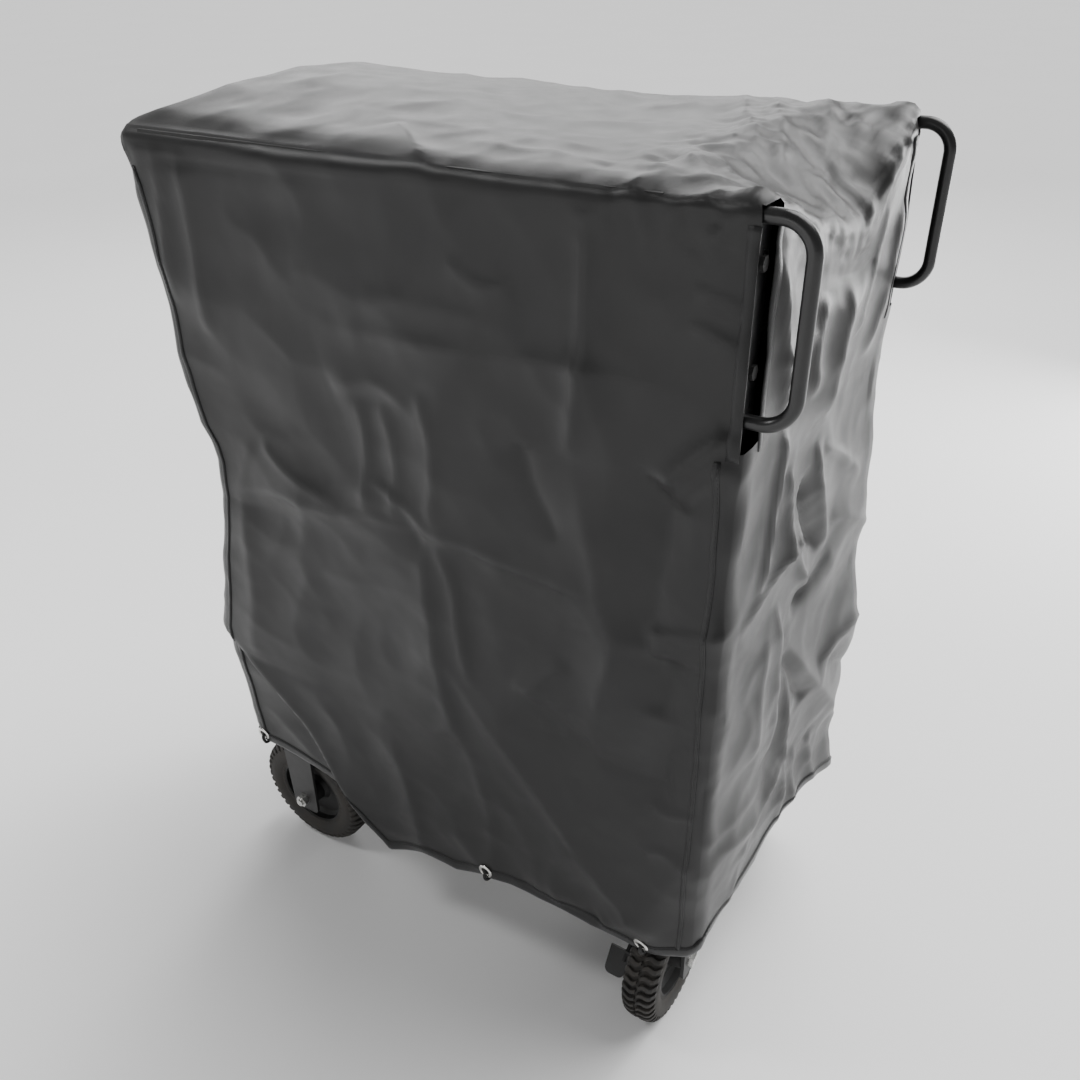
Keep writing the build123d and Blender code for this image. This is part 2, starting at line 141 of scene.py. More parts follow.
def weave_group():
    """Plain weave of crossing yarns, on a map in metres."""
    tree, given, out = group("plain weave", [("Map", VECTOR, None), ("Yarn", FLOAT, 0.0012)],
                             [("Height", FLOAT), ("Shade", FLOAT)])
    split = node(tree, "ShaderNodeSeparateXYZ")
    feed(tree, split.inputs[0], given.outputs["Map"])
    turns = math_node(tree, "DIVIDE", 2 * math.pi, given.outputs["Yarn"])
    waves = []
    for axis in (0, 1):
        angle = times(tree, split.outputs[axis], turns)
        waves.append(math_node(tree, "SINE", angle))
    over = times(tree, waves[0], waves[1])
    height = ranged(tree, over, -1.0, 1.0, 0.0, 1.0)
    wander = noise_node(tree, given.outputs["Map"], 26.0, 4.0)
    feed(tree, out.inputs["Height"], height)
    feed(tree, out.inputs["Shade"], ranged(tree, wander, 0.3, 0.7, 0.0, 1.0))
    return tree


def crumple_group():
    """Soft creases and dents left by folding and handling."""
    tree, given, out = group("crumple", [("Place", VECTOR, None), ("Scale", FLOAT, 9.0)],
                             [("Height", FLOAT)])
    warp = node(tree, "ShaderNodeTexNoise")
    feed(tree, warp.inputs["Vector"], given.outputs["Place"])
    feed(tree, warp.inputs["Scale"], given.outputs["Scale"])
    shift = node(tree, "ShaderNodeVectorMath", operation="SCALE")
    feed(tree, shift.inputs[0], warp.outputs["Color"])
    shift.inputs["Scale"].default_value = 0.09
    moved = node(tree, "ShaderNodeVectorMath", operation="ADD")
    feed(tree, moved.inputs[0], given.outputs["Place"])
    feed(tree, moved.inputs[1], shift.outputs[0])
    cells = node(tree, "ShaderNodeTexVoronoi", feature="SMOOTH_F1")
    feed(tree, cells.inputs["Vector"], moved.outputs[0])
    feed(tree, cells.inputs["Scale"], given.outputs["Scale"])
    cells.inputs["Smoothness"].default_value = 0.35
    fine = noise_node(tree, moved.outputs[0], times(tree, given.outputs["Scale"], 3.0), 1.0)
    mixed = math_node(tree, "ADD", cells.outputs["Distance"], times(tree, fine, 0.18))
    feed(tree, out.inputs["Height"], mixed)
    return tree


def dust_group():
    """Uneven film of dust."""
    tree, given, out = group("dust", [("Place", VECTOR, None), ("Scale", FLOAT, 18.0),
                                      ("Amount", FLOAT, 0.5)], [("Mask", FLOAT)])
    coarse = noise_node(tree, given.outputs["Place"], given.outputs["Scale"], 5.0, 0.62)
    fine = noise_node(tree, given.outputs["Place"], times(tree, given.outputs["Scale"], 7.0))
    both = times(tree, coarse, math_node(tree, "ADD", fine, 0.5))
    mask = ranged(tree, both, 0.3, 0.75, 0.0, 1.0)
    feed(tree, out.inputs["Mask"], times(tree, mask, given.outputs["Amount"]))
    return tree


def grain_group():
    """Orange peel of a paint or a moulded skin, with a worn tone."""
    tree, given, out = group("grain", [("Place", VECTOR, None), ("Scale", FLOAT, 400.0)],
                             [("Height", FLOAT), ("Tone", FLOAT)])
    feed(tree, out.inputs["Height"], noise_node(tree, given.outputs["Place"], given.outputs["Scale"], 2.0))
    broad = times(tree, given.outputs["Scale"], 0.08)
    tone = noise_node(tree, given.outputs["Place"], broad, 4.0)
    feed(tree, out.inputs["Tone"], ranged(tree, tone, 0.3, 0.7, 0.0, 1.0))
    return tree


WEAVE, CRUMPLE, DUST, GRAIN = weave_group(), crumple_group(), dust_group(), grain_group()


def placed_group(tree, source, **values):
    made = node(tree, "ShaderNodeGroup", node_tree=source)
    for name, value in values.items():
        feed(tree, made.inputs[name], value)
    return made.outputs


def blended(tree, factor, first, second):
    made = node(tree, "ShaderNodeMix", data_type="RGBA")
    feed(tree, made.inputs[0], factor)
    feed(tree, made.inputs[6], (*first, 1) if isinstance(first, tuple) else first)
    feed(tree, made.inputs[7], (*second, 1) if isinstance(second, tuple) else second)
    return made.outputs[2]


def bumped(tree, height, strength, distance, under=None):
    made = node(tree, "ShaderNodeBump")
    made.inputs["Strength"].default_value = strength
    made.inputs["Distance"].default_value = distance
    feed(tree, made.inputs["Height"], height)
    if under is not None:
        feed(tree, made.inputs["Normal"], under)
    return made.outputs["Normal"]


def new_material(name):
    """An empty material, its Principled shader and its Object coordinates."""
    made = bpy.data.materials.new(name)
    made.use_nodes = True
    tree = made.node_tree
    shader = tree.nodes["Principled BSDF"]
    place = node(tree, "ShaderNodeTexCoord").outputs["Object"]
    return made, tree, shader, place


def coated_cloth(name, colour, pale, yarn=0.0011, crumple=0.004):
    """Coated polyester: fine weave under a semi-gloss film, with soft crumples."""
    made, tree, shader, place = new_material(name)
    cloth_map = node(tree, "ShaderNodeUVMap", uv_map="cloth").outputs["UV"]
    weave = placed_group(tree, WEAVE, Map=cloth_map, Yarn=yarn)
    dents = placed_group(tree, CRUMPLE, Place=place, Scale=6.5)
    dust = placed_group(tree, DUST, Place=place, Scale=2.4, Amount=0.3)
    base = blended(tree, weave["Shade"], colour, tuple(1.2 * c for c in colour))
    feed(tree, shader.inputs["Base Color"], blended(tree, dust["Mask"], base, pale))
    rough = ranged(tree, weave["Shade"], 0.0, 1.0, 0.30, 0.38)
    feed(tree, shader.inputs["Roughness"], math_node(tree, "ADD", rough, times(tree, dust["Mask"], 0.12)))
    shader.inputs["Specular IOR Level"].default_value = 0.28
    shader.inputs["Sheen Weight"].default_value = 0.05
    shader.inputs["Sheen Roughness"].default_value = 0.5
    soft = bumped(tree, dents["Height"], 0.55, crumple)
    feed(tree, shader.inputs["Normal"], bumped(tree, weave["Height"], 0.22, 0.0003, soft))
    return made


def painted(name, colour, worn, rough, scale=420.0):
    made, tree, shader, place = new_material(name)
    grain = placed_group(tree, GRAIN, Place=place, Scale=scale)
    dust = placed_group(tree, DUST, Place=place, Scale=30.0, Amount=0.3)
    base = blended(tree, grain["Tone"], colour, tuple(1.35 * c for c in colour))
    feed(tree, shader.inputs["Base Color"], blended(tree, dust["Mask"], base, worn))
    feed(tree, shader.inputs["Roughness"], ranged(tree, grain["Tone"], 0.0, 1.0, rough, rough + 0.12))
    feed(tree, shader.inputs["Normal"], bumped(tree, grain["Height"], 0.25, 0.0004))
    return made


def plated(name, colour, rough):
    made, tree, shader, place = new_material(name)
    grain = placed_group(tree, GRAIN, Place=place, Scale=900.0)
    worn = tuple(0.8 * c for c in colour)
    feed(tree, shader.inputs["Base Color"], blended(tree, grain["Tone"], colour, worn))
    feed(tree, shader.inputs["Roughness"], ranged(tree, grain["Tone"], 0.0, 1.0, rough, rough + 0.15))
    shader.inputs["Metallic"].default_value = 1.0
    feed(tree, shader.inputs["Normal"], bumped(tree, grain["Height"], 0.2, 0.0002))
    return made


def rubber(name, colour, dusty):
    made, tree, shader, place = new_material(name)
    grain = placed_group(tree, GRAIN, Place=place, Scale=260.0)
    dust = placed_group(tree, DUST, Place=place, Scale=34.0, Amount=0.85)
    base = blended(tree, grain["Tone"], colour, tuple(1.5 * c for c in colour))
    feed(tree, shader.inputs["Base Color"], blended(tree, dust["Mask"], base, dusty))
    feed(tree, shader.inputs["Roughness"], ranged(tree, dust["Mask"], 0.0, 1.0, 0.62, 0.95))
    feed(tree, shader.inputs["Normal"], bumped(tree, grain["Height"], 0.35, 0.0006))
    return made


def braid(name, colour):
    """Braided elastic cord."""
    made, tree, shader, place = new_material(name)
    cells = node(tree, "ShaderNodeTexVoronoi")
    feed(tree, cells.inputs["Vector"], place)
    cells.inputs["Scale"].default_value = 900.0
    tone = ranged(tree, cells.outputs["Distance"], 0.0, 0.7, 0.0, 1.0)
    feed(tree, shader.inputs["Base Color"], blended(tree, tone, tuple(2 * c for c in colour), colour))
    shader.inputs["Roughness"].default_value = 0.75
    feed(tree, shader.inputs["Normal"], bumped(tree, cells.outputs["Distance"], 0.6, 0.0006))
    return made


CLOTH = (0.012, 0.012, 0.0123)
cover_cloth = coated_cloth("charcoal cover cloth", CLOTH, (0.026, 0.025, 0.0235))
tape_cloth = coated_cloth("charcoal hem tape", (0.012, 0.012, 0.0122), (0.022, 0.022, 0.022), 0.0016, 0.002)
thread = braid("charcoal thread", (0.02, 0.02, 0.02))
handle_black = painted("gloss black handle paint", (0.006, 0.006, 0.0063), (0.02, 0.0195, 0.019), 0.26)
frame_black = painted("black frame coat", (0.006, 0.006, 0.006), (0.014, 0.013, 0.012), 0.6)
caster_black = painted("caster paint", (0.014, 0.014, 0.0145), (0.035, 0.0325, 0.03), 0.4)
rim_black = painted("wheel paint", (0.006, 0.006, 0.006), (0.02, 0.0185, 0.017), 0.5)
zinc = plated("bright zinc", (0.72, 0.72, 0.7), 0.22)
nickel = plated("nickel", (0.82, 0.81, 0.78), 0.14)
tyre_rubber = rubber("dusty tyre rubber", (0.011, 0.0105, 0.01), (0.05, 0.044, 0.038))
nylon = painted("pale nylon", (0.5, 0.5, 0.47), (0.4, 0.38, 0.34), 0.5)
elastic = braid("black elastic cord", (0.012, 0.012, 0.012))

FINISHES = {"cover_fabric": cover_cloth, "handle_paint": handle_black, "frame_paint": frame_black,
            "caster_paint": caster_black, "zinc_plate": zinc, "grommet_nickel": nickel,
            "cord_elastic": elastic, "tyre": tyre_rubber, "wheel_rim": rim_black, "bush_plastic": nylon}
for part in frame["record"]["subparts"]:
    slots = frame["nodes"][part["node"]].data.materials
    slots.clear()
    slots.append(FINISHES[part["material_slot"]])
# Painted shade: the zinc bolts and weld nuts seen through the slits get the frame's black, standing in for the
# deep shade there.
for fastener in ("handle_bolts", "handle_weld_nuts"):
    frame["nodes"][fastener].data.materials[0] = frame_black  # black here is painted shade in the dark slit, not a coat of paint
frame["nodes"]["brake_lever"].data.materials[0] = rim_black  # a dull black coat, like the wheels'


# ------------------------------------------------------------------ the cover's shape, in millimetres
low, high = mm_box("cover_front")
MID = (low[0] + high[0]) / 2
L = (high[0] - low[0]) / 2
W = -low[1]
TOP = mm_box("cover_top")[1][2]
ROUND = 4 * (L + W)  # once round the sides
SLIT_X, SLIT_Y, SLIT_BOTTOM = 4, 27, 940
FRAME_X, FRAME_Y, FRAME_Z = 368, 231, 1161  # the frame's top edges, with room for the cloth
POSTS_X = 351, -305

# Every place on the sides is (s, z): s runs to the right along the front panel, from -L to L, and on round
# the right, back and left panels.
PANELS = {"front": lambda u: u, "right": lambda u: L + W + u, "back": lambda u: 2 * L + 2 * W - u,
          "left": lambda u: 3 * L + 3 * W - u}

HEMS = {
    "front": [(-377, 243), (-330, 240), (-260, 232), (-205, 222), (-165, 185), (-125, 131), (-60, 158),
              (0, 157), (50, 180), (100, 189), (290, 189), (330, 202), (377, 226)],
    "right": [(-200, 240), (-120, 226), (-40, 212), (60, 208), (150, 206), (212, 184)],
    "back": [(377, 172), (340, 186), (200, 190), (0, 172), (-220, 196), (-377, 236)],
    "left": [(100, 228), (-100, 226), (-180, 234)],
}

# Folds: the path, how far it stands out, and how wide it falls away to the path's left and right. A path
# that runs to the right has its upper side on the left.
FOLDS = {
    "front": [
        # packing creases
        ([(-140, 976), (0, 983), (100, 986), (200, 993), (290, 992), (372, 978)], 4.5, 20, 70),
        ([(-345, 720), (-230, 737), (-150, 735), (-110, 738), (-80, 751), (-40, 749), (-5, 740)], 6, 30, 30),
        ([(-10, 741), (20, 752), (70, 748), (130, 742), (225, 735)], 5, 26, 16),
        ([(30, 420), (8, 560), (2, 650), (-2, 742)], 7, 80, 22),
        ([(62, 540), (45, 620), (42, 690), (18, 740)], 3.5, 14, 9),
        ([(100, 513), (200, 502), (290, 496), (345, 500), (385, 518)], -4.5, 45, 30),
        # upper part
        ([(-302, 930), (-298, 1050), (-292, 1150)], 3, 10, 12),
        ([(-350, 960), (-338, 1060), (-318, 1152)], 2.5, 9, 9),
        ([(192, 890), (208, 960), (214, 1060), (216, 1150)], 4, 9, 16),
        ([(225, 500), (240, 600), (262, 680), (236, 720), (228, 800), (196, 898)], 6.5, 34, 40),
        ([(298, 690), (296, 760), (306, 830), (308, 905)], -7, 48, 26),
        ([(140, 900), (148, 850), (185, 790)], -4, 18, 24),
        ([(300, 886), (325, 925), (368, 965)], 6.5, 14, 12),
        ([(312, 868), (340, 905), (370, 935)], 5, 12, 12),
        ([(318, 1058), (350, 1046), (368, 1040)], 2.4, 7, 8),
        ([(322, 1088), (350, 1080), (368, 1076)], 2, 6, 7),
        ([(290, 705), (330, 722), (390, 742)], 5, 10, 34),
        ([(316, 600), (322, 650), (318, 690)], -4, 20, 18),
        ([(60, 1080), (100, 1052), (140, 1062)], 2, 9, 12),
        ([(-60, 1020), (40, 1028), (150, 1015)], 1.6, 16, 22),
        # pleats gathered above the middle crease
        ([(-84, 750), (-72, 830), (-78, 900)], 3.2, 12, 10),
        ([(-42, 752), (-26, 830), (-44, 905)], 3, 12, 12),
        ([(12, 760), (32, 860), (14, 930)], 3, 12, 12),
        ([(-250, 805), (-205, 768), (-120, 748)], 3.6, 12, 22),
        ([(-75, 800), (-20, 782), (10, 748)], 2.6, 9, 9),
        ([(-120, 905), (-80, 918), (-40, 925), (0, 905)], 3, 22, 16),
        # lower part
        ([(-395, 482), (-345, 440), (-300, 398), (-250, 336), (-205, 250), (-168, 190), (-120, 118)],
         11, 75, 9),
        ([(-318, 430), (-310, 560), (-316, 700)], 7, 60, 62),
        ([(320, 225), (285, 255), (220, 325), (130, 430), (60, 505), (5, 600)], 6, 30, 66),
        ([(137, 560), (160, 592), (192, 628)], 2.4, 8, 9),
        ([(118, 575), (150, 560), (232, 590)], 1.8, 14, 12),
        ([(-60, 150), (-62, 260), (-95, 400)], 4, 32, 26),
        ([(60, 175), (75, 270), (60, 380), (20, 470)], 3.6, 30, 22),
        ([(180, 190), (165, 260), (205, 330)], 3, 16, 22),
        ([(300, 380), (325, 396), (366, 372)], 3, 9, 14),
        ([(305, 470), (325, 452), (366, 470)], 2.6, 8, 10),
        ([(240, 205), (275, 222), (300, 262)], 3, 12, 12),
        ([(110, 205), (170, 196), (250, 207)], -2.4, 12, 10),
    ],
    "right": [
        ([(-148, 940), (-170, 1020), (-193, 1120)], 6, 10, 16),
        ([(-150, 735), (-138, 830), (-128, 930)], 6, 10, 14),
        ([(-66, 730), (-76, 800), (-102, 870)], 5.5, 12, 12),
        ([(-210, 722), (-120, 735), (-60, 746), (-26, 765)], 5, 9, 16),
        ([(-58, 420), (-72, 560), (-84, 690)], 7, 36, 11),
        ([(-118, 470), (-128, 560), (-120, 660)], 4, 20, 16),
        ([(62, 680), (12, 738), (-14, 780), (-34, 826)], -8, 9, 11),
        ([(88, 668), (50, 738), (14, 800), (0, 860)], 6, 12, 16),
        ([(24, 645), (-12, 700), (-52, 760)], 5, 10, 9),
        ([(-10, 640), (40, 632), (105, 655)], -4, 10, 14),
        ([(-4, 880), (4, 980), (30, 1090)], 8, 30, 60),
        ([(24, 838), (90, 803), (186, 730)], 3.4, 9, 8),
        ([(90, 712), (160, 680), (252, 618)], 3, 10, 10),
        ([(-36, 612), (60, 482), (130, 402), (200, 312), (262, 238)], 9, 34, 30),
        ([(-34, 580), (14, 500), (62, 442)], -6, 10, 12),
        ([(88, 482), (160, 487), (240, 480)], 5, 10, 30),
        ([(120, 470), (170, 420), (240, 380)], -5, 16, 18),
        ([(-246, 430), (-180, 414), (-100, 400), (-50, 392)], 3, 30, 14),
        ([(-215, 392), (-130, 364), (-70, 342), (-22, 352), (6, 372)], 11, 26, 80),
        ([(52, 200), (34, 290), (10, 372), (-12, 460), (-22, 570)], 8, 12, 18),
        ([(96, 200), (86, 280), (60, 350)], 5, 14, 16),
        ([(160, 190), (140, 270), (120, 330)], 5, 16, 18),
        ([(-150, 225), (-120, 290), (-126, 340)], 3, 18, 18),
        ([(-190, 1010), (-120, 1040), (-60, 1020)], 3, 14, 14),
        ([(-52, 930), (-62, 1010), (-40, 1080)], 4.5, 14, 16),
        ([(60, 960), (90, 1040), (130, 1120)], 4, 18, 14),
        ([(150, 900), (170, 990), (196, 1080)], 4, 16, 18),
    ],
    "back": [
        ([(380, 985), (200, 990), (0, 983), (-180, 988), (-372, 975)], 3.5, 40, 24),
        ([(370, 740), (150, 748), (0, 742), (-200, 738), (-372, 728)], 4.5, 30, 30),
        ([(10, 420), (-4, 600), (4, 742)], 5, 40, 30),
        ([(-205, 700), (-212, 900), (-198, 1130)], 4, 30, 20),
        ([(250, 200), (225, 400), (236, 700)], 5, 40, 36),
        ([(-140, 180), (-190, 330), (-250, 480), (-330, 610)], 6, 50, 34),
        ([(120, 180), (90, 300), (20, 420)], 5, 30, 34),
        ([(340, 900), (280, 860), (220, 760)], 5, 20, 24),
        ([(330, 505), (150, 498), (-60, 506)], -4, 30, 30),
        ([(-60, 745), (-90, 830), (-70, 930)], 3, 16, 14),
        ([(70, 750), (100, 850), (60, 960)], 3, 14, 18),
    ],
    "left": [
        ([(240, 985), (60, 990), (-240, 978)], 3.5, 40, 24),
        ([(240, 738), (0, 745), (-200, 735)], 4.5, 30, 28),
        ([(60, 240), (40, 480), (58, 740)], 6, 44, 34),
        ([(-90, 745), (-110, 900), (-80, 1120)], 4, 22, 26),
        ([(180, 250), (110, 380), (20, 500)], 5, 30, 30),
        ([(-60, 230), (-120, 330), (-225, 470)], 7, 24, 46),
    ],
}
FOLD_HEIGHT = 1.75  # all the sides' folds are this much higher than listed
# Swells: place, half sizes, and how far each stands out.
SWELLS = {
    "front": [(52, 850, 58, 80, 7), (-95, 905, 60, 34, 3), (312, 236, 34, 36, 9), (-372, 1146, 14, 14, 6),
              (-255, 760, 60, 34, 3), (110, 1080, 110, 60, 3), (330, 660, 26, 34, -4), (260, 560, 40, 60, 4)],
    "right": [(-20, 300, 120, 50, -6), (20, 636, 22, 16, -5), (-120, 560, 70, 90, 6), (120, 900, 90, 120, -7),
              (0, 1080, 60, 40, -4), (-100, 800, 26, 34, -4), (140, 560, 60, 50, -6), (90, 620, 40, 30, 4)],
    "back": [(200, 600, 120, 110, 7), (-180, 820, 120, 90, 6), (0, 300, 140, 70, -5)],
    "left": [(0, 620, 110, 130, 6), (60, 950, 90, 80, 4)],
}
# Folds and swells of the top, whose places are (x, y).
ROOF_FOLDS = [
    ([(165, 250), (215, 120), (262, 30), (300, -70)], 6, 12, 12),
    ([(205, 250), (245, 140), (290, 40), (322, -60)], 6, 11, 11),
    ([(262, 240), (300, 150), (330, 60), (372, -66)], 7, 10, 14),
    ([(300, 236), (340, 150), (352, 60)], 5, 10, 10),
    ([(318, 40), (300, 0), (326, -52)], 5, 9, 9),
    ([(300, -80), (330, -130), (352, -182)], 7, 12, 12),
    ([(332, -70), (352, -120), (376, -160)], -7, 12, 12),
    ([(366, -214), (350, -170), (328, -120), (316, -80)], -6, 9, 9),
    ([(250, -120), (290, -150), (330, -196)], 4, 12, 14),
    ([(20, -162), (120, -168), (230, -176), (345, -188)], 3, 10, 12),
    ([(-62, -148), (-10, -186), (44, -240)], 5, 9, 20),
    ([(-70, 120), (-10, 70), (60, -20), (110, -90)], 2.2, 18, 18),
    ([(-10, 230), (60, 160), (120, 110)], 2.6, 14, 18),
    ([(-390, 70), (-320, -10), (-240, -60)], 2, 16, 20),
    ([(90, 240), (160, 120), (200, 0), (230, -70)], 2.4, 18, 14),
    ([(-250, 200), (-180, 90), (-60, 10)], 1.8, 24, 24),
    ([(-120, -160), (0, -120), (120, -130), (240, -110)], 1.8, 20, 24),
]
ROOF_SWELLS = [(345, 30, 24, 60, 4), (320, -100, 26, 26, -4), (0, 0, 300, 160, 3), (170, 60, 70, 60, -4),
               (-120, 60, 120, 80, -3), (364, -218, 22, 20, 8), (364, 218, 22, 20, 8)]

# How far the corners stand out or, below zero, fall in, by height
LEFT_FRONT = [(250, 6), (300, 10), (400, 17), (470, 24), (500, 16), (550, 5), (600, -4), (650, -16),
              (700, -24), (750, -28), (775, -22), (800, -8), (850, 1), (1000, 7), (1100, 16), (1150, 34),
              (1240, 34)]
BACK_RIGHT = [(170, 36), (200, 33), (250, 20), (300, 15), (350, 23), (400, 27), (450, 29), (500, 26),
              (550, 23), (600, 20), (700, 14), (800, 9), (900, 6), (1000, 7), (1150, 5)]

# Radius of the rolled top edges, by place along them, and their height. The corners' radius, and the
# slits'.
FRONT_ROLL = [(-377, 46), (-100, 48), (40, 30), (330, 24), (364, 12), (377, 12)]
BACK_ROLL = [(-377, 36), (330, 24), (364, 12), (377, 12)]
RIGHT_ROLL = [(0, 20), (180, 16), (214, 12), (231, 12)]
ROLL_HEIGHT = [(-377, 26), (0, 17), (364, 12), (377, 12)]
LEFT_ROLL, CORNER, SLIT_CORNER = 34, 16, 5
CROWN, LEFT_PUSH = 30, 16  # how far the left half of the top rises and its end panel stands out
# How far the top edge sags between the handles
RIGHT_SAG = [(-231, 0), (-205, 2), (-160, 13), (-100, 36), (-50, 54), (0, 66), (50, 68), (88, 56), (120, 36),
             (150, 18), (190, 6), (231, 0)]


def step(value, low, high):
    """Smooth rise from 0 at low to 1 at high."""
    t = np.clip((value - low) / (high - low), 0, 1)
    return t * t * (3 - 2 * t)


def rounded_path(points):
    """The same path with its corners cut twice."""
    for _ in range(2):
        cut = [points[0]]
        for a, b in zip(points, points[1:]):
            cut += [(0.75 * a[0] + 0.25 * b[0], 0.75 * a[1] + 0.25 * b[1]),
                    (0.25 * a[0] + 0.75 * b[0], 0.25 * a[1] + 0.75 * b[1])]
        points = cut + [points[-1]]
    return points


def folded(u, v, folds):
    """Sum of the folds at each place. A fold fades out towards its two ends."""
    total = np.zeros_like(u)
    for path, height, left, right in folds:
        path = rounded_path(path)
        reach = 5 * max(left, right)
        (low_u, low_v), (high_u, high_v) = np.min(path, axis=0) - reach, np.max(path, axis=0) + reach
        near = (u > low_u) & (u < high_u) & (v > low_v) & (v < high_v)
        total[near] += one_fold(u[near], v[near], path, height, left, right)
    return total


def one_fold(u, v, path, height, left, right):
    best = np.full_like(u, 1e9)
    side, along = np.zeros_like(u), np.zeros_like(u)
    for k, ((x0, y0), (x1, y1)) in enumerate(zip(path, path[1:])):
        dx, dy = x1 - x0, y1 - y0
        t = np.clip(((u - x0) * dx + (v - y0) * dy) / (dx * dx + dy * dy), 0, 1)
        away = np.hypot(u - x0 - t * dx, v - y0 - t * dy)
        nearer = away < best
        best = np.where(nearer, away, best)
        side = np.where(nearer, dx * (v - y0) - dy * (u - x0), side)
        along = np.where(nearer, (k + t) / (len(path) - 1), along)
    width = np.where(side > 0, left, right)
    fall = np.exp(-(np.sqrt(best ** 2 + 4) - 2) / width)
    return height * fall * step(along, 0, 0.3) * step(1 - along, 0, 0.3)


def swollen(u, v, swells):
    total = np.zeros_like(u)
    for cu, cv, half_u, half_v, height in swells:
        total += height * np.exp(-((u - cu) / half_u) ** 2 - ((v - cv) / half_v) ** 2)
    return total


def side_folds(s, z):
    """How far the sides stand out, from every panel's folds, each measured round the nearer way."""
    total = np.zeros_like(s)
    for panel, unroll in PANELS.items():
        middle = unroll(0)
        near = (s - middle + ROUND / 2) % ROUND - ROUND / 2 + middle
        total += folded(near, z, [([(unroll(u), v) for u, v in path], FOLD_HEIGHT * height, left, right)
                                  for path, height, left, right in FOLDS[panel]])
        total += swollen(near, z, [(unroll(u), v, a, b, h) for u, v, a, b, h in SWELLS[panel]])
    return total


# Unevenness of hanging cloth: height and wavelength. Creases: height, level, wavelength and a shift of the
# pattern, so that no two run together.
SLOW = [(3.6, 190), (1.3, 80)]
CREASES = [(7.0, 0.5, 130, Vector((9, 3, 5))), (3.4, 0.4, 70, Vector((2, 7, 1))),
           (0.5, 0.4, 30, Vector((5, 1, 8)))]
CRUSHED_CREASES = [(8.0, 0.4, 44, Vector((4, 4, 2))), (4.0, 0.4, 21, Vector((0, 0, 0)))]


def creased(v, creases):
    return sum(height * (level - abs(noise.noise(v / wave + shift))) for height, level, wave, shift in creases)


def wander(x, y, z):
    """Slow unevenness of hanging cloth, its small creases, and the crushed end of the top."""
    crushed = (step(x, 150, 270) * step(z, 1090, 1150)).ravel()
    places = np.stack([x, y, z], axis=-1).reshape(-1, 3)
    out = np.empty(len(places))
    for k, p in enumerate(places):
        v = Vector(p)
        out[k] = sum(height * noise.noise(v / wave) for height, wave in SLOW) + creased(v, CREASES)
        if crushed[k] > 0:
            out[k] += crushed[k] * creased(v, CRUSHED_CREASES)
    return out.reshape(x.shape)


def on_box(s):
    """Place on the cover's sharp outline, and the distance along it from the front left corner."""
    t = (s + L) % ROUND
    front, right, back = t < 2 * L, t < 2 * L + 2 * W, t < 4 * L + 2 * W
    x = np.where(front, t - L, np.where(right, L, np.where(back, 3 * L + 2 * W - t, -L)))
    y = np.where(front, -W, np.where(right, t - 2 * L - W, np.where(back, W, 4 * L + 3 * W - t)))
    return x, y


def from_box(x, y):
    """The place s of the point of the outline nearest to (x, y)."""
    across, aside = L - np.abs(x), W - np.abs(y)
    end = across < aside
    return np.where(end, np.where(x > 0, L + W + y, 3 * L + 3 * W - y),
                    np.where(y < 0, x, 2 * L + 2 * W - x))


def backed(x, y, z):
    """1 where the frame lies right behind the cloth, so that it can't fall in, and 0 where it hangs free."""
    rails = np.maximum(1 - step(z, 300, 330), step(z, 1085, 1118))
    posts = np.maximum(*(1 - step(np.abs(x - post), 18, 40) for post in POSTS_X))
    return np.maximum(rails, np.where(x > L - 1, 1 - step(W - np.abs(y), 34, 60), posts))


def outside_frame(place):
    """Push places that fall inside the frame's top edges out through its nearest side."""
    bounds = np.array([FRAME_X, FRAME_Y, FRAME_Z]).reshape([3] + [1] * (place.ndim - 1))
    depth = bounds - np.stack([np.abs(place[0]), np.abs(place[1]), place[2]])
    caught = (depth > 0).all(axis=0) & (place[2] > TOP - 60)
    nearest = np.argmin(depth, axis=0)
    for axis in range(3):
        here = caught & (nearest == axis)
        place[axis] = np.where(here, bounds[axis] * np.where(place[axis] < 0, -1, 1), place[axis])
    return place


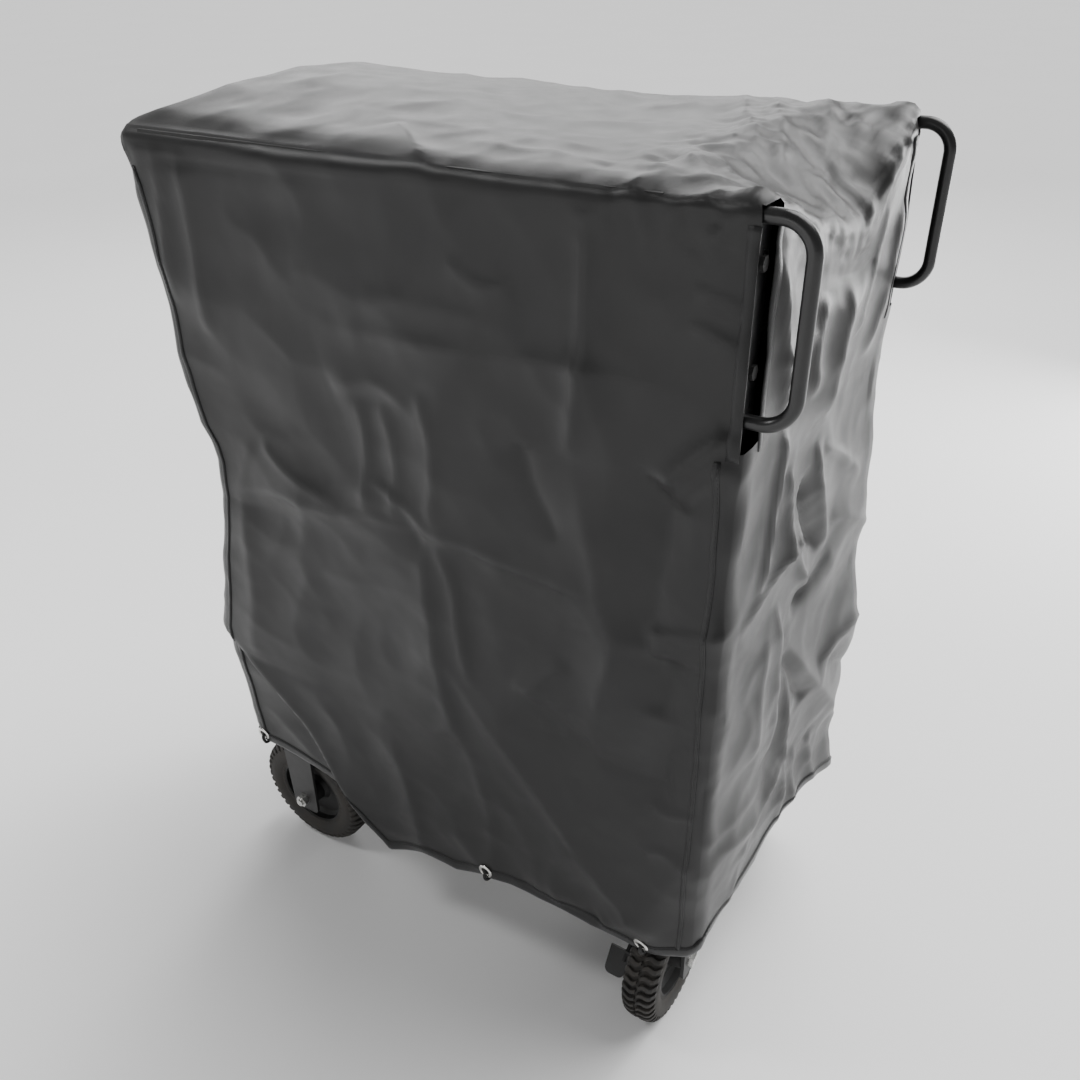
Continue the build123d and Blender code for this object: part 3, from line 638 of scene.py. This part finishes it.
def shaped(x, y, z, s, over):
    """The cover's surface for places on a sharp box.

    over is how far in from the edge a place of the top lies.
    """
    near_top = step(z, TOP - 80, TOP - 20)
    front_roll = np.interp(x, *zip(*FRONT_ROLL))
    back_roll = np.interp(x, *zip(*BACK_ROLL))
    right_roll = np.interp(np.abs(y), *zip(*RIGHT_ROLL))
    # the corners are round, but the slits' edges stand out straight
    plan = CORNER - (CORNER - SLIT_CORNER) * step(x, 325, 355) * step(z, SLIT_BOTTOM - 60, SLIT_BOTTOM - 5)
    rx = plan + (np.where(x > 0, right_roll, LEFT_ROLL) - plan) * near_top
    ry = plan + (np.where(y > 0, back_roll, front_roll) - plan) * near_top
    rz = np.interp(x, *zip(*ROLL_HEIGHT))
    core = [np.clip(x, rx - L, L - rx), np.clip(y, ry - W, W - ry), np.minimum(z, TOP - rz)]
    out = np.stack([(x - core[0]) / rx, (y - core[1]) / ry, (z - core[2]) / rz])
    out /= np.maximum(np.linalg.norm(out, axis=0), 1e-9)
    place = np.stack(core) + out * np.stack([rx, ry, rz])
    normal = out / np.stack([rx, ry, rz])
    normal /= np.linalg.norm(normal, axis=0)
    flat = normal[2] ** 2
    sides = side_folds(s, z + over)
    drawn_in = step(s, -345, -300) * (1 - step(s, 330, 362)) * (1 - 0.85 * step(x, -150, 0))
    tuck = 1.8 * drawn_in * np.exp(-((z - (TOP - rz - 6)) / 9) ** 2)
    lip = 0.5 * drawn_in * np.exp(-((z - (TOP - rz + 8)) / 9) ** 2)
    roof = folded(x, y, ROOF_FOLDS) + swollen(x, y, ROOF_SWELLS)
    lift = (sides - tuck + lip) * (1 - flat) + roof * flat + wander(x, y, z)
    lift = np.maximum(lift, -1.0 - 30 * (1 - backed(x, y, z)))
    place += normal * lift
    place = outside_frame(place)
    # the crowned left half of the top, which also pushes the left panel's upper edge out
    crown = step(-x, -140, L) * (1 - (y / W) ** 2 * 0.9)
    place[2] += CROWN * crown * flat
    place[0] -= LEFT_PUSH * step(-x, 0.9 * L, L) * step(z, 950, TOP) * (1 - (y / W) ** 2)
    # the sag between the handles, and the turned-in cloth at the front left
    sag = np.interp(y, *zip(*RIGHT_SAG))
    place[2] -= sag * step(x, 262, L) ** 1.2 * step(z, 900, TOP)
    corner = np.abs((s + L + ROUND / 2) % ROUND - ROUND / 2) + over
    place[0] -= np.interp(z, *zip(*LEFT_FRONT)) * np.exp(-(corner / 75) ** 2)
    corner = np.abs(s - (L + 2 * W)) + over
    flare = np.interp(z, *zip(*BACK_RIGHT)) * np.exp(-(corner / 110) ** 2)
    place[0] += 0.85 * flare
    place[1] += 0.5 * flare
    place[0] += MID
    return place


def skin(s, z):
    """Surface of the cover's sides at (s, z)."""
    s, z = np.broadcast_arrays(np.asarray(s, float), np.asarray(z, float))
    x, y = on_box(s)
    return shaped(x, y, z, s, np.zeros_like(z)).reshape(3, -1).T


def lifted(s, z, lift):
    """Points over the sides by a given lift, with the cloth's outward normals there."""
    s, z = np.broadcast_arrays(np.asarray(s, float), np.asarray(z, float))
    s, z = s.ravel(), z.ravel()
    reach = 3.0
    along = skin(s + reach, z) - skin(s - reach, z)
    up = skin(s, z + reach) - skin(s, z - reach)
    outward = np.cross(along, up)
    outward /= np.linalg.norm(outward, axis=1, keepdims=True)
    along /= np.linalg.norm(along, axis=1, keepdims=True)
    return skin(s, z) + outward * np.reshape(lift, (-1, 1)), outward, along


HEM = sorted((PANELS[panel](u), z) for panel, points in HEMS.items() for u, z in points)
HEM_S = np.array([s for s, _ in HEM])
HEM_Z = np.array([z for _, z in HEM])


def hem_height(s):
    return np.interp((s + L) % ROUND - L, HEM_S, HEM_Z, period=ROUND)


# ------------------------------------------------------------------ meshes
def new_mesh(name, verts, faces, smooth=True):
    """A mesh from places in millimetres."""
    mesh = bpy.data.meshes.new(name)
    mesh.from_pydata([tuple(v) for v in np.asarray(verts) * MM], [], faces)
    mesh.polygons.foreach_set("use_smooth", [smooth] * len(mesh.polygons))
    mesh.update()
    return mesh


def linked(name, data):
    made = bpy.data.objects.new(name, data)
    bpy.context.collection.objects.link(made)
    return made


def new_piece(name, verts, faces, material):
    made = linked(name, new_mesh(name, verts, faces))
    made.data.materials.append(material)
    return made


def ring_faces(rings, count, joined=False, open_rings=False):
    """Faces from each ring of count places to the next, and from the last to the first where joined."""
    return [(k * count + i, k * count + (i + 1) % count, after * count + (i + 1) % count, after * count + i)
            for k in range(rings if joined else rings - 1) for after in [(k + 1) % rings]
            for i in range(count - 1 if open_rings else count)]


def face_outwards(mesh):
    shape = bmesh.new()
    shape.from_mesh(mesh)
    bmesh.ops.recalc_face_normals(shape, faces=shape.faces)
    shape.to_mesh(mesh)
    shape.free()


def map_cloth(mesh, places):
    """The map that the weave follows, from a place in metres for every vertex."""
    layer = mesh.uv_layers.new(name="cloth")
    corners = np.empty(len(mesh.loops), dtype=np.int32)
    mesh.loops.foreach_get("vertex_index", corners)
    layer.data.foreach_set("uv", places[corners].ravel().astype(np.float32))


ROWS = 176
TAPE_RUN, TAPE_ROUND = 2.4, 0.04  # what a tape's length and width are on its map
COLUMNS_X = np.concatenate([np.linspace(-L, L - SLIT_X, 124), [L - SLIT_X / 2, L]])
COLUMNS_Y = np.concatenate([[-W, -W + SLIT_Y / 2], np.linspace(-W + SLIT_Y, W - SLIT_Y, 72),
                            [W - SLIT_Y / 2, W]])


def make_cover():
    """Top and four sides in one sheet, slit at the two corners by the handles."""
    nx, ny = len(COLUMNS_X), len(COLUMNS_Y)
    ring_s = np.concatenate([COLUMNS_X, L + W + COLUMNS_Y[1:], 2 * L + 2 * W - COLUMNS_X[::-1][1:],
                             3 * L + 3 * W - COLUMNS_Y[::-1][1:-1]])
    count = len(ring_s)
    grid_x, grid_y = np.meshgrid(COLUMNS_X, COLUMNS_Y, indexing="ij")
    x, y = grid_x.ravel(), grid_y.ravel()
    inset = np.minimum(L - np.abs(x), W - np.abs(y))
    roof = shaped(x, y, np.full_like(x, TOP), from_box(x, y), inset).T
    down = np.linspace(0, 1, ROWS + 1)[1:, None]
    hem = hem_height(ring_s)[None, :]
    z = TOP - (TOP - hem) * down
    s = np.broadcast_to(ring_s[None, :], z.shape)
    sides = skin(s, z)
    verts = np.concatenate([roof, sides])

    rim = [i * ny for i in range(nx)] + [(nx - 1) * ny + j for j in range(1, ny)]
    rim += [i * ny + ny - 1 for i in range(nx - 2, -1, -1)] + [j for j in range(ny - 2, 0, -1)]
    faces = [(i * ny + j, (i + 1) * ny + j, (i + 1) * ny + j + 1, i * ny + j + 1)
             for i in range(nx - 1) for j in range(ny - 1)]
    slits = [(L - SLIT_X, L + SLIT_Y, hem_height(L)),
             (L + 2 * W - SLIT_Y, L + 2 * W + SLIT_X, hem_height(L + 2 * W))]
    for k in range(ROWS):
        for i in range(count):
            after = (i + 1) % count
            middle = (ring_s[i] + (ring_s[after] if after else ring_s[i] + 5)) / 2
            if any(a < middle < b and TOP - (TOP - low_edge) * down[k, 0] > SLIT_BOTTOM
                   for a, b, low_edge in slits):
                continue
            upper = (rim[i], rim[after]) if k == 0 else (len(roof) + (k - 1) * count + i,
                                                        len(roof) + (k - 1) * count + after)
            lower = (len(roof) + k * count + i, len(roof) + k * count + after)
            faces.append((upper[0], lower[0], lower[1], upper[1]))
    cover = new_piece("cover", verts, faces, cover_cloth)
    map_cloth(cover.data, np.concatenate([np.stack([x, y], 1), np.stack([s.ravel(), z.ravel()], 1)]) * MM)
    shape = bmesh.new()
    shape.from_mesh(cover.data)
    bmesh.ops.delete(shape, geom=[v for v in shape.verts if not v.link_faces], context="VERTS")
    shape.to_mesh(cover.data)
    shape.free()
    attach(cover, "cart")
    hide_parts(*[f"cover_{side}" for side in ("top", "front", "back", "left", "right")])
    return cover


def make_band(name, path_s, path_z, section, upward=False, closed=False):
    """A folded tape round an edge of the sides, or a flat one over a seam.

    The section is a list of (shift, lift off the cloth). The shift is upward, or else along the panel.
    """
    count, loops = len(path_s), len(section)
    rings = [lifted(path_s + shift * (not upward), path_z + shift * upward, np.full(count, lift))[0]
             for shift, lift in section]
    faces = ring_faces(loops, count, joined=True, open_rings=not closed)
    if not closed:
        faces.append(tuple(a * count for a in range(loops)))
        faces.append(tuple(a * count + count - 1 for a in reversed(range(loops))))
    made = new_piece(name, np.concatenate(rings), faces, tape_cloth)
    face_outwards(made.data)
    length = np.tile(np.linspace(0, TAPE_RUN, count), loops)
    width = np.repeat(np.linspace(0, TAPE_ROUND, loops), count)
    map_cloth(made.data, np.stack([length, width], 1))
    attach(made, "cart")
    return made


# ------------------------------------------------------------------ repeated pieces
def repeat_tree():
    """Geometry nodes that set one pattern piece on every point, turned by the point's two directions."""
    tree = bpy.data.node_groups.new("set out on points", "GeometryNodeTree")
    sockets = {}
    for label, kind in (("Points", "NodeSocketGeometry"), ("Pattern", "NodeSocketObject"),
                        ("Finish", "NodeSocketMaterial"), ("Size", "NodeSocketFloat")):
        sockets[label] = tree.interface.new_socket(label, in_out="INPUT", socket_type=kind).identifier
    tree.interface.new_socket("Mesh", in_out="OUTPUT", socket_type="NodeSocketGeometry")
    given, out = node(tree, "NodeGroupInput"), node(tree, "NodeGroupOutput")
    pattern = node(tree, "GeometryNodeObjectInfo", transform_space="ORIGINAL")
    feed(tree, pattern.inputs["Object"], given.outputs["Pattern"])
    turn = node(tree, "FunctionNodeAxesToRotation", primary_axis="Z", secondary_axis="X")
    for label, target in (("out", 0), ("along", 1)):
        read = node(tree, "GeometryNodeInputNamedAttribute", data_type="FLOAT_VECTOR")
        read.inputs["Name"].default_value = label
        feed(tree, turn.inputs[target], read.outputs["Attribute"])
    put = node(tree, "GeometryNodeInstanceOnPoints")
    feed(tree, put.inputs["Points"], given.outputs["Points"])
    feed(tree, put.inputs["Instance"], pattern.outputs["Geometry"])
    feed(tree, put.inputs["Rotation"], turn.outputs[0])
    size = node(tree, "ShaderNodeCombineXYZ")
    for place in range(3):
        feed(tree, size.inputs[place], given.outputs["Size"])
    feed(tree, put.inputs["Scale"], size.outputs[0])
    real = node(tree, "GeometryNodeRealizeInstances")
    feed(tree, real.inputs[0], put.outputs[0])
    finish = node(tree, "GeometryNodeSetMaterial")
    feed(tree, finish.inputs["Geometry"], real.outputs[0])
    feed(tree, finish.inputs["Material"], given.outputs["Finish"])
    feed(tree, out.inputs[0], finish.outputs[0])
    return tree, sockets


REPEAT, REPEAT_SOCKETS = repeat_tree()


def repeated(name, spots, out, along, pattern, material, body, size=1.0):
    """One plain mesh of the pattern set on every spot."""
    mesh = new_mesh(name, spots, [])
    for label, values in (("out", out), ("along", along)):
        mesh.attributes.new(label, "FLOAT_VECTOR", "POINT").data.foreach_set(
            "vector", np.asarray(values, dtype=np.float32).ravel())
    made = linked(name, mesh)
    setting = made.modifiers.new("set out", "NODES")
    setting.node_group = REPEAT
    for label, value in (("Pattern", pattern), ("Finish", material), ("Size", size)):
        setting[REPEAT_SOCKETS[label]] = value
    done = bpy.data.meshes.new_from_object(made.evaluated_get(bpy.context.evaluated_depsgraph_get()))
    made.modifiers.clear()
    made.data = done
    for label in ("out", "along"):
        if label in done.attributes:
            done.attributes.remove(done.attributes[label])
    if not done.materials:
        done.materials.append(material)
    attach(made, body)
    return made


def pattern_piece(name, verts, faces, smooth=True):
    made = linked(name, new_mesh(name, verts, faces, smooth))
    face_outwards(made.data)
    return made


def turned_pattern(name, profile, sides):
    """A ring turned about local Z from (radius, height) places."""
    verts = []
    for k in range(sides):
        angle = 2 * math.pi * k / sides
        verts += [(r * math.cos(angle), r * math.sin(angle), h) for r, h in profile]
    return pattern_piece(name, verts, ring_faces(sides, len(profile), joined=True))


def stitch_pattern():
    """One stitch: a short thread that dives at both ends."""
    verts, sides, rings = [], 6, 5
    for k in range(rings):
        t = k / (rings - 1)
        x = -2 + 4 * t
        rise = 0.35 * math.sin(math.pi * t)
        radius = 0.42 * (0.45 + 0.55 * math.sin(math.pi * t))
        for i in range(sides):
            angle = 2 * math.pi * i / sides
            verts.append((x, radius * math.cos(angle), rise + radius * math.sin(angle)))
    ends = [tuple(range(sides)), tuple(range((rings - 1) * sides, rings * sides))]
    return pattern_piece("stitch", verts, ring_faces(rings, sides) + ends)


cover = make_cover()

# ------------------------------------------------------------------ hem, seams, stitches, grommets and cord
HEM_TAPE = 16  # how wide the hem's folded tape is
STITCH_STEP = 5.6
tape_s = np.linspace(-L, ROUND - L, 487)[:-1]
tape_z = hem_height(tape_s)
hem_section = [(HEM_TAPE, 0.7), (HEM_TAPE * 0.7, 1.5), (HEM_TAPE * 0.35, 1.7), (2, 1.5), (-1.6, 0.9),
               (-2.2, 0), (-1.6, -0.9), (2, -1.4), (HEM_TAPE * 0.6, -1.4), (HEM_TAPE, -0.7)]
hem_tape = make_band("hem_tape", tape_s, tape_z, hem_section, upward=True, closed=True)

stitch = stitch_pattern()
stitch_s = np.arange(-L, ROUND - L, STITCH_STEP)
spots, outs, alongs = lifted(stitch_s, hem_height(stitch_s) + 13, 1.55)
hem_stitches = repeated("hem_stitches", spots, outs, alongs, stitch, thread, "cart")

SEAM_IN = 19  # from the corner
SEAMS = {"front_right": L - SEAM_IN, "back_right": L + 2 * W + SEAM_IN, "back_left": 3 * L + 2 * W - SEAM_IN,
         "front_left": SEAM_IN - L}
seam_section = [(-3.2, 0.3), (-2.6, 1.1), (0, 1.3), (2.6, 1.1), (3.2, 0.3), (2.6, -0.5), (-2.6, -0.5)]
for place, seam_s in SEAMS.items():
    top_end = SLIT_BOTTOM - 4 if "right" in place else TOP - 42
    seam_z = np.arange(float(hem_height(np.array(seam_s))) + 4, top_end, 5.0)
    seam_path = np.full_like(seam_z, seam_s)
    make_band(f"seam_{place}", seam_path, seam_z, seam_section)
    stitch_z = np.arange(seam_z[0] + 14, top_end - 4, STITCH_STEP)
    row_spots, row_outs, row_alongs = lifted(np.full_like(stitch_z, seam_s + 1.6), stitch_z, 1.3)
    upward = np.cross(row_outs, row_alongs)
    repeated(f"seam_stitches_{place}", row_spots, row_outs, upward, stitch, thread,
                                "cart")

# binding down the two edges of each slit
SLIT_EDGES = {"front": L - SLIT_X, "right_front": L + SLIT_Y, "right_back": L + 2 * W - SLIT_Y,
              "back": L + 2 * W + SLIT_X}
slit_section = [(-1.2, 0.0), (-0.8, 0.9), (5, 1.2), (9, 0.4), (9, -0.4), (5, -1.2), (-0.8, -0.9)]
for place, edge_s in SLIT_EDGES.items():
    inward = 1 if place in ("right_front", "back") else -1
    edge_z = np.arange(SLIT_BOTTOM - 4, TOP - 14, 6.0)
    section = [(inward * shift, lift) for shift, lift in slit_section]
    make_band(f"slit_binding_{place}", np.full_like(edge_z, edge_s), edge_z, section)

GROMMETS = [("front", -362), ("front", 58), ("front", 308), ("back", -300), ("back", -50), ("back", 200),
            ("left", 0)]
GROMMET_RISE = 12  # over the hem's edge
grommet_s = np.array([PANELS[panel](u) for panel, u in GROMMETS])
grommet_z = hem_height(grommet_s) + GROMMET_RISE
spots, outs, alongs = lifted(grommet_s, grommet_z, 1.2)
ring_profile = [(6.0, -3.2), (6.0, 0.4), (6.6, 1.5), (7.8, 2.0), (9.4, 1.8), (10.8, 1.1), (11.5, 0.1),
                (11.2, -0.4), (8.2, -0.3), (7.2, -0.6), (7.0, -2.0), (8.2, -2.6), (11.2, -2.9),
                (11.5, -3.3), (10.4, -3.8), (8.0, -4.1), (6.6, -3.9)]
ring = turned_pattern("grommet ring", ring_profile, 36)
grommets = repeated("grommet_rings", spots, outs, alongs, ring, nickel, "cart")
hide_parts("grommets")


def cord_curve(name, runs, radius):
    """Round cord along one or more runs of points, in millimetres."""
    data = bpy.data.curves.new(name, "CURVE")
    data.dimensions = "3D"
    data.bevel_depth = radius * MM
    data.bevel_resolution = 3
    data.resolution_u = 4
    data.use_fill_caps = True
    for points, closed in runs:
        spline = data.splines.new("NURBS")
        spline.points.add(len(points) - 1)
        for target, p in zip(spline.points, points):
            target.co = (p[0] * MM, p[1] * MM, p[2] * MM, 1)
        spline.order_u = 3
        spline.use_endpoint_u = not closed
        spline.use_cyclic_u = closed
    data.materials.append(elastic)
    made = linked(name, data)
    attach(made, "cart")
    return made


def make_hem_cord():
    """Elastic cord round the inside of the hem, with a loop out through each grommet and back under."""
    inside_s = np.arange(-L, ROUND - L, 22.0)
    inside, _, _ = lifted(inside_s, hem_height(inside_s) + 8, -6.0)
    runs = [(list(inside), True)]
    loop = [(-9, 2, -6), (-5, 8, -6.5), (-1, 12, -5), (0.5, 12.5, 1), (1, 9, 6.4), (1.5, 2, 6),
            (2, -4.5, 3.5), (3, -5.6, -1.5), (6, -1, -5.8), (10, 4, -6.5)]
    for s0, z0 in zip(grommet_s, grommet_z - GROMMET_RISE):
        shift, rise, lift = np.array(loop).T
        points, _, _ = lifted(s0 + shift, z0 + rise, lift)
        runs.append((list(points), False))
    return cord_curve("hem_cord_loop", runs, 2.4)


hem_cord = make_hem_cord()
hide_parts("hem_cord")

# ------------------------------------------------------------------ tyres
SEGMENTS = 96
CARCASS = 96  # the lugs stand on this radius
tyre_section = [(0, 96.4), (8, 96.3), (15, 95.4), (20, 93), (23, 89.5), (25.2, 85), (25.6, 79), (24.2, 71),
                (21.5, 65.5), (20, 62.6), (19.4, 62)]
tread_out = [(0, 101.4), (8, 101.2), (14, 100.5), (18, 98.9), (21.5, 96.6), (24.4, 91)]
LUGS = 44


def lug_pattern():
    """One wavy lug from the middle of the tread to the shoulder: X across the tread, Z outwards."""
    verts, steps, corners = [], 7, 6
    for k in range(steps):
        t = k / (steps - 1)
        x = 1.6 + 23.0 * t
        bend = 6.5 * t + 2.6 * math.sin(2 * math.pi * t)
        half = 3.6 + 0.8 * t
        high = np.interp(x, *zip(*tread_out)) - CARCASS
        deep = np.interp(x, *zip(*tyre_section)) - CARCASS - 1.5 if x < 23 else high - 6.5
        verts += [(x, bend - half, deep), (x, bend - half * 0.78, high - 0.4), (x, bend - half * 0.5, high),
                  (x, bend + half * 0.5, high), (x, bend + half * 0.78, high - 0.4), (x, bend + half, deep)]
    ends = [tuple(range(corners)), tuple(range((steps - 1) * corners, steps * corners))]
    return pattern_piece("lug", verts, ring_faces(steps, corners) + ends, False)


lug = lug_pattern()


def make_tyre(corner):
    low, high = mm_box(f"tyre_{corner}")
    centre = (low + high) / 2
    width = high - low
    axis = np.array([1.0, 0, 0]) if width[0] < width[1] else np.array([0, 1.0, 0])
    ahead, up = np.cross(axis, [0, 0, 1]), np.array([0, 0, 1.0])
    section = [(-a, r) for a, r in tyre_section[::-1]] + tyre_section[1:]
    verts = []
    for k in range(SEGMENTS):
        angle = 2 * math.pi * k / SEGMENTS
        radial = ahead * math.cos(angle) + up * math.sin(angle)
        verts += [centre + axis * a + radial * r for a, r in section]
    faces = ring_faces(SEGMENTS, len(section), joined=True)
    carcass = new_piece(f"tyre_carcass_{corner}", verts, faces, tyre_rubber)
    face_outwards(carcass.data)
    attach(carcass, f"wheel_{corner}")
    spots, outs, alongs = [], [], []
    for row, side in enumerate((1, -1)):
        for k in range(LUGS):
            angle = 2 * math.pi * (k + 0.5 * row) / LUGS
            radial = ahead * math.cos(angle) + up * math.sin(angle)
            spots.append(centre + radial * CARCASS)
            outs.append(radial)
            alongs.append(axis * side)
    repeated(f"tyre_tread_{corner}", spots, outs, alongs, lug, tyre_rubber, f"wheel_{corner}")
    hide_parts(f"tyre_{corner}")


for corner in ("front_left", "back_left", "front_right", "back_right"):
    make_tyre(corner)
for pattern in (stitch, ring, lug):
    bpy.data.objects.remove(pattern)


# ------------------------------------------------------------------ floor and lights
def make_floor():
    mesh = bpy.data.meshes.new("floor")
    shape = bmesh.new()
    bmesh.ops.create_grid(shape, x_segments=2, y_segments=2, size=30)
    shape.to_mesh(mesh)
    shape.free()
    made, tree, shader, place = new_material("pale floor")
    tone = noise_node(tree, place, 1.5, 2.0)
    feed(tree, shader.inputs["Base Color"], blended(tree, tone, (0.86, 0.86, 0.86), (0.9, 0.9, 0.9)))
    shader.inputs["Roughness"].default_value = 0.9
    mesh.materials.append(made)
    linked("floor", mesh)


def soft_light(name, place, target, size, power):
    data = bpy.data.lights.new(name, "AREA")
    data.shape, data.size, data.size_y, data.energy = "RECTANGLE", size[0], size[1], power
    lamp = linked(name, data)
    lamp.location = place
    lamp.rotation_euler = (Vector(target) - Vector(place)).to_track_quat("-Z", "Y").to_euler()


make_floor()
soft_light("back softbox", (-1.9, 3.0, 2.6), (0, 0, 1.1), (3.6, 2.2), 72)
soft_light("side softbox", (1.1, 2.4, 1.1), (0.38, -0.1, 0.7), (0.7, 1.7), 38)
soft_light("high back light", (0.9, 2.2, 2.6), (0.3, 0, 1.1), (1.0, 0.8), 18)
soft_light("front softbox", (-0.8, -3.6, 1.1), (0, 0, 0.7), (3.2, 1.2), 18)
soft_light("grazing light", (-1.3, -1.0, 2.5), (0, -0.25, 0.6), (0.5, 0.5), 15)


def broad_sun(strength):
    data = bpy.data.lights.new("broad sun", "SUN")
    data.energy, data.angle = strength, math.radians(50)
    lamp = linked("broad sun", data)
    lamp.rotation_euler = Vector((-0.25, -0.5, -0.9)).to_track_quat("-Z", "Y").to_euler()


def make_world(seen, lit):
    """White behind the floor's edge, and a softer even light on everything."""
    world = bpy.data.worlds.new("studio")
    world.use_nodes = True
    tree = world.node_tree
    path = node(tree, "ShaderNodeLightPath")
    strength = ranged(tree, path.outputs["Is Camera Ray"], 0.0, 1.0, lit, seen)
    feed(tree, tree.nodes["Background"].inputs["Strength"], strength)
    tree.nodes["Background"].inputs["Color"].default_value = (1, 1, 1, 1)
    bpy.context.scene.world = world


broad_sun(3.6)
make_world(1.8, 0.28)
